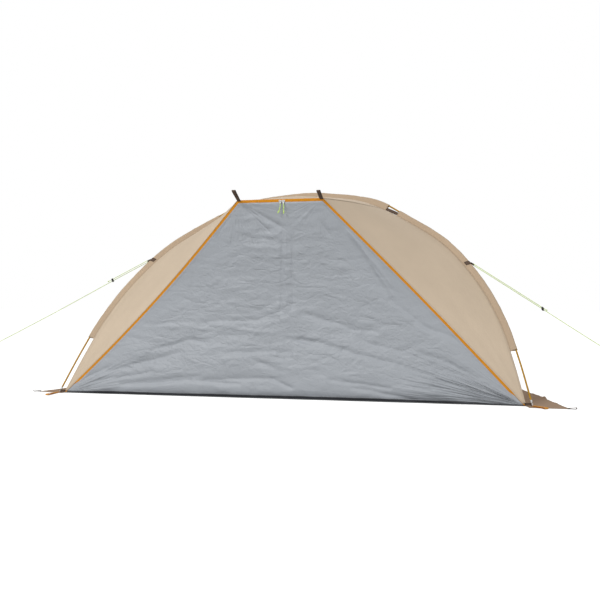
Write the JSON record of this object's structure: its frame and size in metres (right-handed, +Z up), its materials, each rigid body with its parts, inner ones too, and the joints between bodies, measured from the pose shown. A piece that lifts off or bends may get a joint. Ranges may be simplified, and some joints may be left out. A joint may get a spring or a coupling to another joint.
{
  "type": "beach tent",
  "caption": "Low beach tent with a leaning arch pole, a trapezoid zipped front panel that folds down, side wings, webbing loops, guy lines and sand flaps.",
  "frame": {"origin": "middle of the floor sheet, on the ground", "axes": "+X to the right along the front, +Y back into the tent, +Z up"},
  "size_m": [3.6284, 1.52, 1.2144],
  "materials": {
    "canopy_fabric": "matt woven",
    "sleeve_fabric": "matt woven",
    "panel_fabric": "coated, slightly glossy",
    "floor_fabric": "coated",
    "flap_fabric": "matt woven",
    "zip_tape": "woven tape",
    "brown_webbing": "ribbed webbing",
    "orange_webbing": "ribbed webbing",
    "lime_cord": "braided cord",
    "elastic_cord": "covered elastic",
    "fibreglass": "glossy tube",
    "tip_metal": "bright",
    "zip_metal": "bright",
    "dark_plastic": "moulded"
  },
  "bodies": {
    "tent": {"arch_pole_elastic": "elastic_cord", "arch_pole_section_1": "fibreglass", "arch_pole_section_2": "fibreglass", "arch_pole_section_3": "fibreglass", "arch_pole_section_4": "fibreglass", "arch_pole_section_5": "fibreglass", "arch_pole_section_6": "fibreglass", "arch_sleeve_left": "sleeve_fabric", "arch_sleeve_right": "sleeve_fabric", "arch_sleeve_top": "sleeve_fabric", "back_wall": "canopy_fabric", "corner_loop_left": "brown_webbing", "corner_loop_right": "brown_webbing", "corner_tab_left": "brown_webbing", "corner_tab_right": "brown_webbing", "flap_loop_left": "brown_webbing", "flap_loop_right": "brown_webbing", "foot_ring_left": "dark_plastic", "foot_ring_right": "dark_plastic", "foot_strap_left": "orange_webbing", "foot_strap_right": "orange_webbing", "gap_strap_left": "brown_webbing", "gap_strap_right": "brown_webbing", "groundsheet": "floor_fabric", "guy_line_left": "lime_cord", "guy_line_right": "lime_cord", "guy_loop_left": "brown_webbing", "guy_loop_right": "brown_webbing", "pole_tip_left": "tip_metal", "pole_tip_right": "tip_metal", "rear_strap_left": "orange_webbing", "rear_strap_right": "orange_webbing", "sand_flap_left": "flap_fabric", "sand_flap_right": "flap_fabric", "side_pole_left_elastic": "elastic_cord", "side_pole_left_section_1": "fibreglass", "side_pole_left_section_2": "fibreglass", "side_pole_left_section_3": "fibreglass", "side_pole_right_elastic": "elastic_cord", "side_pole_right_section_1": "fibreglass", "side_pole_right_section_2": "fibreglass", "side_pole_right_section_3": "fibreglass", "side_sleeve_left": "sleeve_fabric", "side_sleeve_right": "sleeve_fabric", "side_wall_left": "canopy_fabric", "side_wall_right": "canopy_fabric", "visor_roof": "canopy_fabric", "wing_left": "canopy_fabric", "wing_right": "canopy_fabric", "zip_tape_canopy": "zip_tape"},
    "front_panel": {"front_panel": "panel_fabric", "zip_tape_panel": "zip_tape"},
    "slider_left": {"zip_slider_left": "zip_metal"},
    "slider_right": {"zip_slider_right": "zip_metal"},
    "pull_left": {"zip_pull_left": "zip_metal", "pull_cord_left": "lime_cord"},
    "pull_right": {"zip_pull_right": "zip_metal", "pull_cord_right": "lime_cord"},
    "runner_left": {"guy_runner_left": "dark_plastic"},
    "runner_right": {"guy_runner_right": "dark_plastic"}
  },
  "joints": [
    {"name": "front_panel_fold", "type": "hinge", "parent": "tent", "child": "front_panel", "pos_m": [0, -0.626, 0.0025], "axis": [1, 0, 0], "range_deg": [0, 88]},
    {"name": "zip_slider_left_slide", "type": "slide", "parent": "front_panel", "child": "slider_left", "axis": [-1, 0, 0], "range_m": [0, 0.2]},
    {"name": "zip_pull_left_swing", "type": "hinge", "parent": "slider_left", "child": "pull_left", "pos_m": [0.00275, -0.62752, 1.09069], "axis": [1, 0, 0], "range_deg": [-80, 0]},
    {"name": "guy_runner_left_slide", "type": "slide", "parent": "tent", "child": "runner_left", "axis": [0.7431, 0.4641, 0.4821], "range_m": [0, 0.15]},
    {"name": "zip_slider_right_slide", "type": "slide", "parent": "front_panel", "child": "slider_right", "axis": [1, 0, 0], "range_m": [0, 0.18]},
    {"name": "zip_pull_right_swing", "type": "hinge", "parent": "slider_right", "child": "pull_right", "pos_m": [0.02125, -0.62752, 1.09069], "axis": [1, 0, 0], "range_deg": [-80, 0]},
    {"name": "guy_runner_right_slide", "type": "slide", "parent": "tent", "child": "runner_right", "axis": [-0.7431, 0.4641, 0.4821], "range_m": [0, 0.2]}
  ]
}
